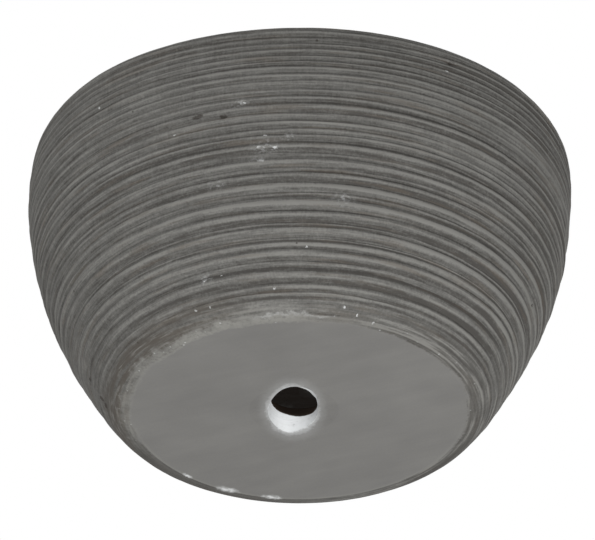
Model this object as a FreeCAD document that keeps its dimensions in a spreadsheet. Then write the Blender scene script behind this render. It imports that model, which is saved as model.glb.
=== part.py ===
"""Ribbed bowl planter: a hand-laid fibre-cement pot built up in pours and coats.

The pot stands on its base at z = 0 with its axis on Z. Lengths are millimetres.
Every piece is turned about that axis, so each outline lies in the XZ plane.
"""
import FreeCAD, Part
import math
import os
import Sketcher

SIZES = {
    # Outer form, taken at the bottom of the grooves between the ribs
    "rim_radius": 174,
    "pot_height": 172,
    "widest_height": 168,
    "base_radius": 105,
    "foot_round": 19,
    # Grey face coat on the wall and under the base
    "coat_thickness": 4,
    "rim_round": 3,
    "rib_relief_share": 0.15,
    # Pale fibre-cement wall, with its foot turned in under the floor
    "core_thickness": 9,
    "lap_width": 25,
    "lap_thickness": 5.5,
    # Pale floor pour over the wall's foot
    "slab_thickness": 10.5,
    # Dark seal coat inside, coved where the floor meets the wall
    "seal_thickness": 1.5,
    "cove_radius": 22,
    # White mortar lining of the drain hole, flared below and above a straight bore
    "drain_radius": 16,
    "drain_land": 3,
    "mouth_depth": 6.5,
    "mouth_flare": 9,
    "funnel_flare": 6,
    "liner_edge": 3,
}

# Heights of the combed ribs from the foot to the rim, uneven as a hand-held comb leaves them
RIB_HEIGHT_SHARES = (
    3, 4.5, 8, 3, 6.5, 4, 1.5, 6.5, 2, 7, 7, 3, 5.5, 6, 2.5, 6, 3,
    6.5, 5, 3.5, 5, 5, 6.5, 5, 4.5, 5.5, 5, 4.5, 4, 4, 4.5, 4, 5, 5,
)

# Turn of an arc in an outline that is drawn with the material on its left
OUTWARD = 1
INWARD = -1

doc = FreeCAD.newDocument("bowl_planter")

sheet = doc.addObject("Spreadsheet::Sheet", "Sizes")
for row, (size_name, size) in enumerate(SIZES.items(), start=1):
    sheet.set(f"A{row}", size_name)
    sheet.set(f"B{row}", str(size))
    sheet.setAlias(f"B{row}", size_name)

# Points and radii worked out from the sizes, which the outlines are bound to
places = doc.addObject("App::VarSet", "Places")


def place(name, formula):
    """Keep one worked-out length under a name."""
    places.addProperty("App::PropertyFloat", name, "Places")
    places.setExpression(name, formula)


def point(name, x_formula, z_formula):
    """Keep one corner of an outline: its distance from the axis and its height."""
    place(f"{name}_x", x_formula)
    place(f"{name}_z", z_formula)


def wall_x(arc_radius, height):
    """Distance from the axis, at a height, on one of the concentric arcs of the wall."""
    return f"Places.wall_axis + sqrt(pow({arc_radius}; 2) - pow(Sizes.widest_height - ({height}); 2))"


def place_wall():
    """The wall's section is one arc, upright at the widest level and tangent to the rounded foot."""
    place("overhang", "Sizes.rim_radius - Sizes.base_radius")
    place("rise", "Sizes.widest_height - Sizes.foot_round")
    place(
        "wall_arc",
        "(pow(Places.overhang; 2) + pow(Places.rise; 2) - pow(Sizes.foot_round; 2))"
        " / (2 * (Places.overhang - Sizes.foot_round))",
    )
    place("wall_axis", "Sizes.rim_radius - Places.wall_arc")
    place("back_arc", "Places.wall_arc - Sizes.coat_thickness")
    place("core_arc", "Places.back_arc - Sizes.core_thickness")
    place("seal_arc", "Places.core_arc - Sizes.seal_thickness")
    place("back_foot_round", "Sizes.foot_round - Sizes.coat_thickness")
    place("outer_foot_round", "Sizes.foot_round")
    for name, arc in (("foot_top", "wall_arc"), ("back_foot_top", "back_arc")):
        stretch = f"Places.{arc} / (Places.wall_arc - Sizes.foot_round)"
        point(
            name,
            f"Places.wall_axis + (Sizes.base_radius - Places.wall_axis) * {stretch}",
            f"Sizes.widest_height - Places.rise * {stretch}",
        )


def place_ribs():
    """Grooves stand on the wall arc; each rib swells outward between two of them."""
    place("rib_top", "Sizes.pot_height - Sizes.rim_round")
    point("groove_0", "Places.foot_top_x", "Places.foot_top_z")
    total = sum(RIB_HEIGHT_SHARES)
    for number in range(1, len(RIB_HEIGHT_SHARES) + 1):
        climb_share = sum(RIB_HEIGHT_SHARES[:number]) / total
        height = f"Places.foot_top_z + (Places.rib_top - Places.foot_top_z) * {climb_share}"
        point(f"groove_{number}", wall_x("Places.wall_arc", height), height)
        lower = f"Places.groove_{number - 1}"
        upper = f"Places.groove_{number}"
        chord = f"sqrt(pow({upper}_x - {lower}_x; 2) + pow({upper}_z - {lower}_z; 2))"
        place(
            f"rib_{number}_arc",
            f"{chord} * (1 + 4 * pow(Sizes.rib_relief_share; 2)) / (8 * Sizes.rib_relief_share)",
        )


def place_rim():
    """The face coat caps the core and the seal coat, with both its edges rounded."""
    under_cap = "Sizes.pot_height - Sizes.coat_thickness"
    last_groove = f"Places.groove_{len(RIB_HEIGHT_SHARES)}"
    place("rim_edge_round", "Sizes.rim_round")
    point("back_top", wall_x("Places.back_arc", under_cap), under_cap)
    point("core_top", wall_x("Places.core_arc", under_cap), under_cap)
    point("seal_top", wall_x("Places.seal_arc", under_cap), under_cap)
    point("rim_outer", f"{last_groove}_x - Sizes.rim_round", "Sizes.pot_height")
    point("rim_inner", "Places.seal_top_x + Sizes.rim_round", "Sizes.pot_height")
    point("rim_inside", "Places.seal_top_x", "Places.rib_top")


def place_floor():
    """The floor is the base coat, the slab lapped over the wall's foot, and the seal coat."""
    lap_level = "Sizes.coat_thickness + Sizes.lap_thickness"
    slab_level = "Sizes.coat_thickness + Sizes.slab_thickness"
    place("floor_level", f"{slab_level} + Sizes.seal_thickness")
    place("lap_radius", "Sizes.base_radius - Sizes.lap_width")
    point("seam_lower", "Sizes.base_radius", "0")
    point("seam_upper", "Sizes.base_radius", "Sizes.coat_thickness")
    point("lap_lower", "Places.lap_radius", "Sizes.coat_thickness")
    point("lap_upper", "Places.lap_radius", lap_level)
    point("core_foot", wall_x("Places.core_arc", lap_level), lap_level)
    point("slab_edge", wall_x("Places.core_arc", slab_level), slab_level)
    place("cove_round", "Sizes.cove_radius")
    place("cove_drop", "Sizes.widest_height - Places.floor_level - Sizes.cove_radius")
    place("cove_reach", "sqrt(pow(Places.seal_arc - Sizes.cove_radius; 2) - pow(Places.cove_drop; 2))")
    stretch = "Places.seal_arc / (Places.seal_arc - Sizes.cove_radius)"
    point(
        "cove_upper",
        f"Places.wall_axis + Places.cove_reach * {stretch}",
        f"Sizes.widest_height - Places.cove_drop * {stretch}",
    )
    point("cove_lower", "Places.wall_axis + Places.cove_reach", "Places.floor_level")


def place_drain():
    """The lining fills a round hole through the floor; its mouth runs out flat on the base."""
    place("mouth_radius", "Sizes.drain_radius + Sizes.mouth_flare")
    place("liner_radius", "Places.mouth_radius + Sizes.liner_edge")
    place("mouth_arc", "(pow(Sizes.mouth_flare; 2) + pow(Sizes.mouth_depth; 2)) / (2 * Sizes.mouth_depth)")
    point("liner_lower", "Places.liner_radius", "0")
    point("liner_slab", "Places.liner_radius", "Sizes.coat_thickness")
    point("liner_seal", "Places.liner_radius", "Sizes.coat_thickness + Sizes.slab_thickness")
    point("liner_upper", "Places.liner_radius", "Places.floor_level")
    point("funnel_upper", "Sizes.drain_radius + Sizes.funnel_flare", "Places.floor_level")
    point("bore_upper", "Sizes.drain_radius", "Sizes.mouth_depth + Sizes.drain_land")
    point("bore_lower", "Sizes.drain_radius", "Sizes.mouth_depth")
    point("mouth_lower", "Places.mouth_radius", "0")


def corner(name):
    """The present position of a kept point, in the outline's own plane."""
    return FreeCAD.Vector(getattr(places, f"{name}_x"), getattr(places, f"{name}_z"), 0)


def arc_between(start, end, radius, turn):
    """The short arc from one corner to the next; its centre lies left of an outward turn."""
    along = end - start
    half = along.Length / 2
    left = FreeCAD.Vector(-along.y, along.x, 0).normalize()
    centre = (start + end) / 2 + left * turn * math.sqrt(radius**2 - half**2)
    first, last = (start, end) if turn == OUTWARD else (end, start)
    first_angle = math.atan2(first.y - centre.y, first.x - centre.x)
    last_angle = math.atan2(last.y - centre.y, last.x - centre.x)
    if last_angle < first_angle:
        last_angle += 2 * math.pi
    circle = Part.Circle(centre, FreeCAD.Vector(0, 0, 1), radius)
    return Part.ArcOfCircle(circle, first_angle, last_angle)


def plane_of(body, role):
    """One of the body's own origin planes."""
    return next(feature for feature in body.Origin.OriginFeatures if feature.Role == role)


def new_body(label):
    """An empty body for one piece."""
    body = doc.addObject("PartDesign::Body", label)
    body.Label = label
    body.Placement = FreeCAD.Placement()
    return body


def new_sketch(body, name, role):
    """A sketch on one of the body's origin planes."""
    sketch = body.newObject("Sketcher::SketchObject", f"{body.Label}_{name}")
    sketch.AttachmentSupport = [(plane_of(body, role), "")]
    sketch.MapMode = "FlatFace"
    return sketch


def bind(sketch, constraint, name, formula):
    """Add one dimension to a sketch and tie it to a kept length."""
    index = sketch.addConstraint(constraint)
    sketch.renameConstraint(index, name)
    sketch.setExpression(f"Constraints.{name}", formula)


def draw_outline(sketch, edges):
    """Draw a closed outline, where each edge is the corner it runs to and, for an arc, radius and turn."""
    ends = []
    for index, (name, radius_name, turn) in enumerate(edges):
        start = corner(edges[index - 1][0])
        end = corner(name)
        if radius_name:
            radius = getattr(places, radius_name)
            edge = sketch.addGeometry(arc_between(start, end, radius, turn))
            ends.append((edge, 1, 2) if turn == OUTWARD else (edge, 2, 1))
        else:
            edge = sketch.addGeometry(Part.LineSegment(start, end))
            ends.append((edge, 1, 2))
    for index, (edge, first, last) in enumerate(ends):
        following, following_first, following_last = ends[(index + 1) % len(ends)]
        sketch.addConstraint(Sketcher.Constraint("Coincident", edge, last, following, following_first))
    for (edge, first, last), (name, radius_name, turn) in zip(ends, edges):
        spot = corner(name)
        out = Sketcher.Constraint("DistanceX", -1, 1, edge, last, spot.x)
        bind(sketch, out, f"{name}_out", f"Places.{name}_x")
        if spot.y == 0:
            sketch.addConstraint(Sketcher.Constraint("PointOnObject", edge, last, -1))
        else:
            up = Sketcher.Constraint("DistanceY", -1, 1, edge, last, spot.y)
            bind(sketch, up, f"{name}_up", f"Places.{name}_z")
        if radius_name:
            bend = Sketcher.Constraint("Radius", edge, getattr(places, radius_name))
            bind(sketch, bend, f"{name}_bend", f"Places.{radius_name}")


def turned_piece(label, edges):
    """A piece whose outline is turned all the way round the pot's axis."""
    body = new_body(label)
    sketch = new_sketch(body, "outline", "XZ_Plane")
    draw_outline(sketch, edges)
    turn = body.newObject("PartDesign::Revolution", f"{label}_turn")
    turn.Profile = sketch
    turn.ReferenceAxis = (sketch, ["V_Axis"])
    turn.Angle = 360
    return body


def line_to(name):
    """A straight edge of an outline."""
    return (name, None, OUTWARD)


def arc_to(name, radius_name, turn):
    """A round edge of an outline."""
    return (name, radius_name, turn)


def make_wall_face_coat():
    """The ribbed grey coat, from the seam under the base up over the rim."""
    ribs = [
        arc_to(f"groove_{number}", f"rib_{number}_arc", OUTWARD)
        for number in range(1, len(RIB_HEIGHT_SHARES) + 1)
    ]
    return turned_piece(
        "wall_face_coat",
        [
            line_to("seam_lower"),
            arc_to("groove_0", "outer_foot_round", OUTWARD),
            *ribs,
            arc_to("rim_outer", "rim_edge_round", OUTWARD),
            line_to("rim_inner"),
            arc_to("rim_inside", "rim_edge_round", OUTWARD),
            line_to("seal_top"),
            line_to("back_top"),
            arc_to("back_foot_top", "back_arc", INWARD),
            arc_to("seam_upper", "back_foot_round", INWARD),
        ],
    )


def make_wall_core():
    """The pale wall behind the coat, with its foot turned in level under the floor."""
    return turned_piece(
        "wall_core",
        [
            line_to("lap_lower"),
            line_to("seam_upper"),
            arc_to("back_foot_top", "back_foot_round", OUTWARD),
            arc_to("back_top", "back_arc", OUTWARD),
            line_to("core_top"),
            arc_to("core_foot", "core_arc", INWARD),
            line_to("lap_upper"),
        ],
    )


def make_base_slab():
    """The floor pour: it steps over the wall's foot and runs out to the wall."""
    return turned_piece(
        "base_slab",
        [
            line_to("liner_slab"),
            line_to("lap_lower"),
            line_to("lap_upper"),
            line_to("core_foot"),
            arc_to("slab_edge", "core_arc", OUTWARD),
            line_to("liner_seal"),
        ],
    )


def make_inner_seal_coat():
    """The dark coat on the floor and the inner wall, thickened to a cove in the corner."""
    return turned_piece(
        "inner_seal_coat",
        [
            line_to("liner_seal"),
            line_to("slab_edge"),
            arc_to("core_top", "core_arc", OUTWARD),
            line_to("seal_top"),
            arc_to("cove_upper", "seal_arc", INWARD),
            arc_to("cove_lower", "cove_round", INWARD),
            line_to("liner_upper"),
        ],
    )


def make_drain_liner():
    """The white lining of the drain hole: rounded mouth, straight bore, and a funnel above."""
    return turned_piece(
        "drain_liner",
        [
            line_to("liner_lower"),
            line_to("liner_upper"),
            line_to("funnel_upper"),
            line_to("bore_upper"),
            line_to("bore_lower"),
            arc_to("mouth_lower", "mouth_arc", OUTWARD),
        ],
    )


def make_base_face_coat():
    """The trowelled disc that the pot stands on, from the drain lining out to the seam."""
    body = new_body("base_face_coat")
    sketch = new_sketch(body, "rings", "XY_Plane")
    centre = FreeCAD.Vector(0, 0, 0)
    for name, radius, formula in (
        ("seam", places.seam_lower_x, "Sizes.base_radius"),
        ("drain", places.liner_radius, "Places.liner_radius"),
    ):
        ring = sketch.addGeometry(Part.Circle(centre, FreeCAD.Vector(0, 0, 1), radius))
        sketch.addConstraint(Sketcher.Constraint("Coincident", ring, 3, -1, 1))
        bind(sketch, Sketcher.Constraint("Radius", ring, radius), name, formula)
    pad = body.newObject("PartDesign::Pad", "base_face_coat_pad")
    pad.Profile = sketch
    pad.setExpression("Length", "Sizes.coat_thickness")
    return body


def check(pieces):
    """Stop if anything in the document failed or a piece has no sound shape."""
    for item in doc.Objects:
        if {"Invalid", "Error"} & set(item.State):
            raise RuntimeError(f"{item.Label} failed: {item.State}")
    for piece in pieces:
        if piece.Shape.isNull() or not piece.Shape.isValid() or len(piece.Shape.Solids) != 1:
            raise RuntimeError(f"{piece.Label} has no sound solid")


doc.recompute()
place_wall()
place_ribs()
place_floor()
place_rim()
place_drain()
doc.recompute()

pieces = [
    make_wall_face_coat(),
    make_base_face_coat(),
    make_wall_core(),
    make_base_slab(),
    make_drain_liner(),
    make_inner_seal_coat(),
]
doc.recompute()
check(pieces)

os.makedirs("parts", exist_ok=True)
for piece in pieces:
    piece.Shape.exportStep(f"parts/{piece.Label}.step")
    box = piece.Shape.BoundBox
    print(f"{piece.Label}: {piece.Shape.Volume:.0f} mm3, z {box.ZMin:.2f} to {box.ZMax:.2f}, r {box.XMax:.2f}")
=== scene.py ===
"""Looks of a ribbed bowl planter in fibre cement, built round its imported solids.

The pot stands on its base at z = 0 with its axis on Z. Lengths are metres.
An azimuth is measured from -Y, the side that faces the viewer, and grows towards +X.
"""

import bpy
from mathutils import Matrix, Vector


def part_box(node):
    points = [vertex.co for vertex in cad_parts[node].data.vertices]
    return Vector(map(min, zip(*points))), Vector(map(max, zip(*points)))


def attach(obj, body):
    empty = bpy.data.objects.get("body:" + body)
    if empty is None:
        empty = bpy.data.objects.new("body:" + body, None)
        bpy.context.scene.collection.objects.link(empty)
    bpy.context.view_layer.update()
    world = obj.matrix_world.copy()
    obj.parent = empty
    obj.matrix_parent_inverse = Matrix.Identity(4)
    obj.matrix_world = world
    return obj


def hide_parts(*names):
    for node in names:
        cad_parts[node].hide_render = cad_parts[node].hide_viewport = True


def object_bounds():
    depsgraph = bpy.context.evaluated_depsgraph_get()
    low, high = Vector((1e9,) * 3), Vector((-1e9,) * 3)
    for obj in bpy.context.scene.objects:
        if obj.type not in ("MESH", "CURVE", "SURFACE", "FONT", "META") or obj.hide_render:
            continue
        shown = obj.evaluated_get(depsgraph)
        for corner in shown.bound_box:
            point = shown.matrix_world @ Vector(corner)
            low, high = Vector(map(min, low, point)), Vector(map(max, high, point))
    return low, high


bl_info = {
    "name": "Ribbed Bowl Planter",
    "version": (1, 0, 0),
    "blender": (4, 5, 0),
    "location": "View3D > Sidebar > Planter",
    "description": "Combed wall, trowelled base, drain lining and seal coat of a cement bowl planter",
    "category": "Add Mesh",
}

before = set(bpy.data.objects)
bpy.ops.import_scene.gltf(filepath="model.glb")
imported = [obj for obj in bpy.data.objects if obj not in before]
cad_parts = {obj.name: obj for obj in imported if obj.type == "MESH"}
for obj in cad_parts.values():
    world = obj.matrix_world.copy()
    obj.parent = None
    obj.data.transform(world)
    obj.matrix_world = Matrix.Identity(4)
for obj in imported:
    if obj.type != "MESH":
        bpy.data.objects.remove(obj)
cad_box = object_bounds()

import math

import bmesh
import bpy
import numpy as np
from bpy.props import FloatProperty, FloatVectorProperty, PointerProperty
from mathutils import Euler, Vector, noise

# A millimetre in metres, and the millimetres in a metre
MM = 0.001
PER_METRE = 1000

SEED = 7
# Faces that meet at more than this angle keep a hard edge
HARD_EDGE = math.radians(38)
# Turn of the trowel sweeps under the base, and of the way that the drain plug was rocked
SWEEP_TURN = math.radians(24)
ROCK_TURN = math.radians(6)
# Rows of points on the combed wall, and the height below which a rib is only a dark scratch
ROWS_PER_METRE = 1180
SCRATCH_HEIGHT = 2.2 * MM

# Heights of the combed ribs from the foot to the rim, as in the solid that they replace
RIB_HEIGHT_SHARES = (
    3, 4.5, 8, 3, 6.5, 4, 1.5, 6.5, 2, 7, 7, 3, 5.5, 6, 2.5, 6, 3,
    6.5, 5, 3.5, 5, 5, 6.5, 5, 4.5, 5.5, 5, 4.5, 4, 4, 4.5, 4, 5, 5,
)

# Splashes of lime on the wall and foot: azimuth in degrees, height and half width in millimetres
LIME_SPLASHES = (
    (-8.3, 82, 2.5), (-8.8, 90, 1.4), (-5, 89, 1.7), (-7.3, 97, 1.5), (-27, 107, 1.1),
    (-11.5, 119, 1.2), (1.8, 33, 1.2), (-26, 21, 1.2), (-21, 22, 1.0), (31, 154, 1.4),
    (13.5, 4.6, 1.4), (18, 2.5, 1.1), (24, 1.2, 1.2), (-7, 12, 1.2), (-31, 8.6, 1.2), (-26.5, 8.3, 1.1),
)

# Patches of lime dust on the wall: azimuth in degrees, height and half width in millimetres
LIME_DUST = (
    (-7.2, 90, 11), (-9, 83, 6), (-12.5, 119, 8), (-2, 96, 7), (-26, 22, 8), (-19, 72, 7), (10, 60, 9),
)

# Dusty patches on the seal coat inside: azimuth in degrees, height and half width in millimetres
SEAL_DUST = ((175, 113, 15), (-176, 96, 9), (118, 72, 18), (-58, 96, 16), (22, 61, 20), (-128, 131, 13))

# White chips on the edge of the base: azimuth in degrees, distance from the axis and half width in
# millimetres
EDGE_CHIPS = ((-136.8, 104, 5.4), (-153.8, 104, 10.4), (-170.4, 104, 8.6))

# Knocks and blowholes in the wall: azimuth in degrees, height, half width and depth in millimetres
WALL_PITS = (
    (-21.5, 115, 4.2, 1.3), (-16, 112, 3.4, 0.9), (-89, 23, 3, 1.2), (-92, 11, 3, 1.2), (32, 161, 3.6, 1.6),
    (148, 92, 3, 1.2), (121, 139, 2.6, 1.0), (-128, 74, 2.8, 1.1), (77, 58, 2.4, 0.9),
)

# Small blowholes that show as dark dots: azimuth in degrees, height and half width in millimetres
BLOWHOLES = ((-91, 11.9, 4.4), (-92.5, 9.2, 4.8), (-88, 22.4, 3.4))

# Broad flats that the maker's hand left: azimuth in degrees, height in millimetres, half turn in degrees,
# half height and depth in millimetres
HAND_FLATS = ((-84, 195, 46, 50, 2.9), (112, 42, 55, 50, 1.3))

# Stretches of the foot where the ribs are worn down: azimuth in degrees, height in millimetres,
# half turn in degrees and half height in millimetres
WORN_STRETCHES = ((-98, 14, 34, 36), (104, 20, 34, 44))


def linear(hex_colour):
    """An sRGB hex colour as the linear red, green and blue that shaders mix."""
    levels = [int(hex_colour[at:at + 2], 16) / 255 for at in (1, 3, 5)]
    return tuple(level / 12.92 if level <= 0.04045 else ((level + 0.055) / 1.055) ** 2.4 for level in levels)


def length(name, description, default):
    """A length that a user may change."""
    return FloatProperty(name=name, description=description, default=default, unit="LENGTH", precision=4)


def colour(name, description, hex_colour):
    """A colour that a user may change."""
    return FloatVectorProperty(
        name=name, description=description, default=linear(hex_colour), subtype="COLOR", min=0, max=1
    )


class PlanterSizes(bpy.types.PropertyGroup):
    """Sizes of the coats that show; those that a solid fixes come from the frame."""

    pot_height: length("Pot height", "From the base to the top of the rim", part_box("wall_face_coat")[1].z)
    base_radius: length("Base radius", "Flat base, out to its seam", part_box("base_face_coat")[1].x)
    coat_thickness: length("Coat thickness", "Grey coat on wall and base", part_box("base_face_coat")[1].z)
    rim_radius: length("Rim radius", "Furrows between the ribs at the widest level", 174 * MM)
    widest_height: length("Widest height", "Level where the wall stands upright", 168 * MM)
    foot_round: length("Foot rounding", "Radius between the base and the wall", 19 * MM)
    rim_round: length("Rim rounding", "Radius on both edges of the rim", 3 * MM)
    rib_relief_share: FloatProperty(
        name="Rib relief",
        description="Swell of a rib as a share of its height",
        default=0.165,
        min=0,
        max=0.4,
    )
    rib_wander: length("Rib wander", "How far a furrow strays up and down round the pot", 0.8 * MM)
    hand_wobble: length("Hand wobble", "How far the wall strays in and out round the pot", 0.5 * MM)
    rim_spread: length("Rim spread", "How far the rim is full between its four quarters", 3.4 * MM)
    core_thickness: length("Core thickness", "Pale wall behind the grey coat", 9 * MM)
    seal_thickness: length("Seal thickness", "Dark coat inside", 1.5 * MM)
    cove_radius: length("Cove radius", "Hollow corner between the floor and the wall inside", 22 * MM)
    floor_level: length("Floor level", "Top of the floor inside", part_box("drain_liner")[1].z)
    liner_radius: length("Lining radius", "Outside of the drain lining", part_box("drain_liner")[1].x)
    drain_radius: length("Drain radius", "Straight bore of the drain hole", 14.6 * MM)
    bore_pull: length("Bore pull", "Further widening of the bore to the front and back", 3.2 * MM)
    drain_askew: length("Drain askew", "How far the hole is drawn to the left and to the front", 3.3 * MM)
    drain_tilt: length("Drain tilt", "Rise of the bore at its left, and drop at its right", 3 * MM)
    mouth_flare: length("Mouth flare", "Widening of the hole at the base, at its sides", 1.1 * MM)
    mouth_pull: length("Mouth pull", "Further widening to the front and back, by the rocked plug", 12 * MM)
    mouth_depth: length("Mouth depth", "Height of the widening above the base", 6.5 * MM)
    drain_land: length("Drain land", "Height of the straight bore", 1.5 * MM)
    funnel_flare: length("Funnel flare", "Widening of the hole at the floor inside", 6 * MM)


class PlanterColours(bpy.types.PropertyGroup):
    """Colours of the finishes, as they look in plain daylight."""

    furrow: colour("Furrow", "Shaded, gritty bottom of the combing", "#4b4946")
    face: colour("Wall face", "Middle of the combed coat", "#686764")
    # The crest's paleness is partly rubbed wear and partly painted highlight; the furrow's darkness is
    # painted shade
    crest: colour("Crest", "Dry rubbed top of a rib", "#83827e")
    earth: colour("Earth stain", "Brown bloom in the combing", "#655b50")
    seam: colour("Seam", "Pale ragged paste round the base", "#8b8a85")
    base: colour("Base", "Trowelled skin under the pot", "#7d7c7a")
    lime: colour("Lime", "White splashes and chips", "#e8eaea")
    mortar: colour("Mortar", "White lining of the drain", "#e2e4e5")
    # The seal's near-black is partly the coat's own colour and partly painted shade of the pot's inside
    seal: colour("Seal", "Dark coat inside", "#2e2722")
    core: colour("Core", "Pale fibre cement inside the wall", "#c4bfb3")
    studio: colour("Studio", "Floor of the studio", "#f4f4f2")


class Section:
    """Arcs of the pot's section, worked out from its sizes as those of the solids are."""

    def __init__(self, sizes):
        overhang = sizes.rim_radius - sizes.base_radius
        rise = sizes.widest_height - sizes.foot_round
        self.sizes = sizes
        squares = overhang ** 2 + rise ** 2 - sizes.foot_round ** 2
        self.wall_arc = squares / (2 * (overhang - sizes.foot_round))
        self.axis = sizes.rim_radius - self.wall_arc
        self.foot_end = math.atan2(-rise, sizes.base_radius - self.axis)
        self.rib_foot = sizes.foot_round + sizes.foot_round * math.sin(self.foot_end)
        self.rib_top = sizes.pot_height - sizes.rim_round
        self.seal_depth = sizes.coat_thickness + sizes.core_thickness + sizes.seal_thickness

    def radius(self, height, depth=0.0):
        """Distance from the axis at a height, on the wall arc or at a depth behind it."""
        return self.axis + np.sqrt((self.wall_arc - depth) ** 2 - (self.sizes.widest_height - height) ** 2)


def wander(turns, rng, waves):
    """A smooth random wave round the pot, from -1 to 1, that closes on itself."""
    orders = np.arange(1, waves + 1)
    weights = rng.normal(size=waves) / orders ** 0.6
    phases = rng.uniform(0, 2 * math.pi, waves)
    wave = (weights[:, None] * np.cos(orders[:, None] * turns + phases[:, None])).sum(0)
    return wave / np.abs(wave).max()


def smooth_step(low, high, value):
    """0 below low, 1 above high, and a soft S between them."""
    share = np.clip((value - low) / (high - low), 0, 1)
    return share * share * (3 - 2 * share)


def arc(centre, radius, start, end, rows):
    """Radii and heights of the points on an arc of the section, angles in radians from level outward."""
    angles = np.linspace(start, end, rows)
    return [(centre[0] + radius * math.cos(angle), centre[1] + radius * math.sin(angle)) for angle in angles]


def round_turns(columns):
    """The azimuths of the columns of a turned mesh."""
    return np.linspace(0, 2 * math.pi, columns, endpoint=False)


def even_rows(points, columns):
    """Radii and heights of section points that are the same all round."""
    rows = np.array(points, float)
    return np.repeat(rows[:, :1], columns, 1), np.repeat(rows[:, 1:], columns, 1)


def places_of(radii, heights, turns):
    """Rows and columns of points in space from their radii, heights and azimuths."""
    return np.stack([radii * np.sin(turns), -radii * np.cos(turns), heights], -1)


def roughness_of(places, size, seed):
    """Random grain of a size, one for all or one for each axis, at each place; from about -1 to 1."""
    shift = Vector((seed * 3.1, seed * 1.7, seed * 2.3))
    flat = places.reshape(-1, 3) / np.array(size)
    values = [noise.noise(Vector(place) + shift) for place in flat]
    return np.array(values).reshape(places.shape[:-1])


def turned_object(name, places, marks):
    """A closed mesh whose rows of points run round the pot; marks are values kept at its points."""
    rows, columns = places.shape[:2]
    row = np.arange(rows)[:, None]
    column = np.arange(columns)[None, :]
    after_row = (row + 1) % rows
    after_column = (column + 1) % columns
    corners = (
        row * columns + column,
        row * columns + after_column,
        after_row * columns + after_column,
        after_row * columns + column,
    )
    faces = np.stack([np.broadcast_to(corner, (rows, columns)) for corner in corners], -1).reshape(-1, 4)
    mesh = bpy.data.meshes.new(name)
    mesh.from_pydata(places.reshape(-1, 3).tolist(), [], faces.tolist())
    work = bmesh.new()
    work.from_mesh(mesh)
    if any(not edge.is_manifold for edge in work.edges):
        raise RuntimeError(f"{name} is not closed")
    if work.calc_volume(signed=True) < 0:
        bmesh.ops.reverse_faces(work, faces=work.faces)
    work.to_mesh(mesh)
    work.free()
    for mark, values in marks.items():
        attribute = mesh.attributes.new(mark, "FLOAT", "POINT")
        attribute.data.foreach_set("value", values.ravel().astype(np.float32))
    mesh.shade_smooth()
    mesh.set_sharp_from_angle(angle=HARD_EDGE)
    piece = bpy.data.objects.new(name, mesh)
    bpy.context.scene.collection.objects.link(piece)
    return piece


def degrees_off(turns, azimuth):
    """How far azimuths lie from one in degrees, from -180 to 180."""
    return (np.degrees(turns) - azimuth + 180) % 360 - 180


def worn_share(turns, level):
    """How far a rib at a level is worn down round the pot, 0 to 1."""
    worn = np.zeros(turns.shape)
    for azimuth, height, half_turn, half_height in WORN_STRETCHES:
        across = degrees_off(turns, azimuth)
        up = level / MM - height
        near = np.clip(1 - (across / half_turn) ** 2, 0, 1) * max(1 - (up / half_height) ** 2, 0)
        worn += smooth_step(0, 0.6, near)
    return worn


def rib_rows(section, turns, rng):
    """Radii, heights and tones of the combed ribs, row by row from the foot to the rim."""
    sizes = section.sizes
    climb = np.concatenate([[0], np.cumsum(RIB_HEIGHT_SHARES)]) / sum(RIB_HEIGHT_SHARES)
    levels = section.rib_foot + (section.rib_top - section.rib_foot) * climb
    heights = np.diff(levels)
    drift = wander(turns, rng, 4)
    furrows = []
    for number, level in enumerate(levels):
        beside = heights[max(number - 1, 0):number + 1].min()
        reach = min(sizes.rib_wander, 0.24 * beside)
        furrows.append(level + reach * (0.45 * drift + 0.55 * wander(turns, rng, 14)))
    # Towards the right the painted light and shade across the ribs grow stronger, where the light rakes them,
    # and the ribs differ more from each other
    rightward = 0.5 * np.sin(turns)
    radius_rows, height_rows, tone_rows = [], [], []
    for number, tall in enumerate(heights):
        low_height = furrows[number]
        low_radius = section.radius(low_height)
        upward = furrows[number + 1] - low_height
        outward = section.radius(furrows[number + 1]) - low_radius
        strength = np.clip(0.95 + 0.45 * wander(turns, rng, 8), 0.45, 1.35)
        strength *= 1 - 0.45 * worn_share(turns, levels[number])
        rub_and_light_contrast = strength * (1.02 + rightward)
        swell = sizes.rib_relief_share * strength
        brightness = 0.07 * rng.normal() + 0.07 * wander(turns, rng, 9)
        brightness -= 0.15 if tall < SCRATCH_HEIGHT else 0
        brightness *= 1 + rightward
        crest = rng.uniform(0.5, 0.74)
        rub_and_highlight_from = 0.38 + 0.24 * climb[number]
        contrast = 0.56 + 0.14 * climb[number]
        steps = max(4, round(tall * ROWS_PER_METRE))
        for step in range(steps):
            even = step / steps
            share = 0.5 * even + 0.5 * (0.5 - 0.5 * math.cos(math.pi * even))
            slope = share / crest if share < crest else (1 - share) / (1 - crest)
            bulge = swell * (1 - (1 - slope) ** 1.7)
            radius_rows.append(low_radius + outward * share + bulge * upward)
            height_rows.append(low_height + upward * share - bulge * outward)
            # rubbed runs from painted shade in the furrows to pale crests, partly rubbed wear and partly
            # painted highlight, narrower higher up
            rubbed = smooth_step(rub_and_highlight_from, rub_and_highlight_from + 0.4, slope) - 0.83 + rub_and_highlight_from
            tone_rows.append(0.5 + contrast * rubbed * rub_and_light_contrast + brightness)
    return np.array(radius_rows), np.array(height_rows), np.array(tone_rows)


def press_pits(places, turns):
    """Push each knock in the wall towards the axis."""
    for azimuth, height, half_width, depth in WALL_PITS:
        radii = np.hypot(places[..., 0], places[..., 1])
        across = np.radians(degrees_off(turns, azimuth)) * radii
        up = places[..., 2] - height * MM
        near = (across / (half_width * MM)) ** 2 + (up / (half_width * MM / 2)) ** 2
        bowl = np.clip(1 - near, 0, 1)
        places[..., :2] *= (1 - bowl * depth * MM / radii)[..., None]


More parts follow.
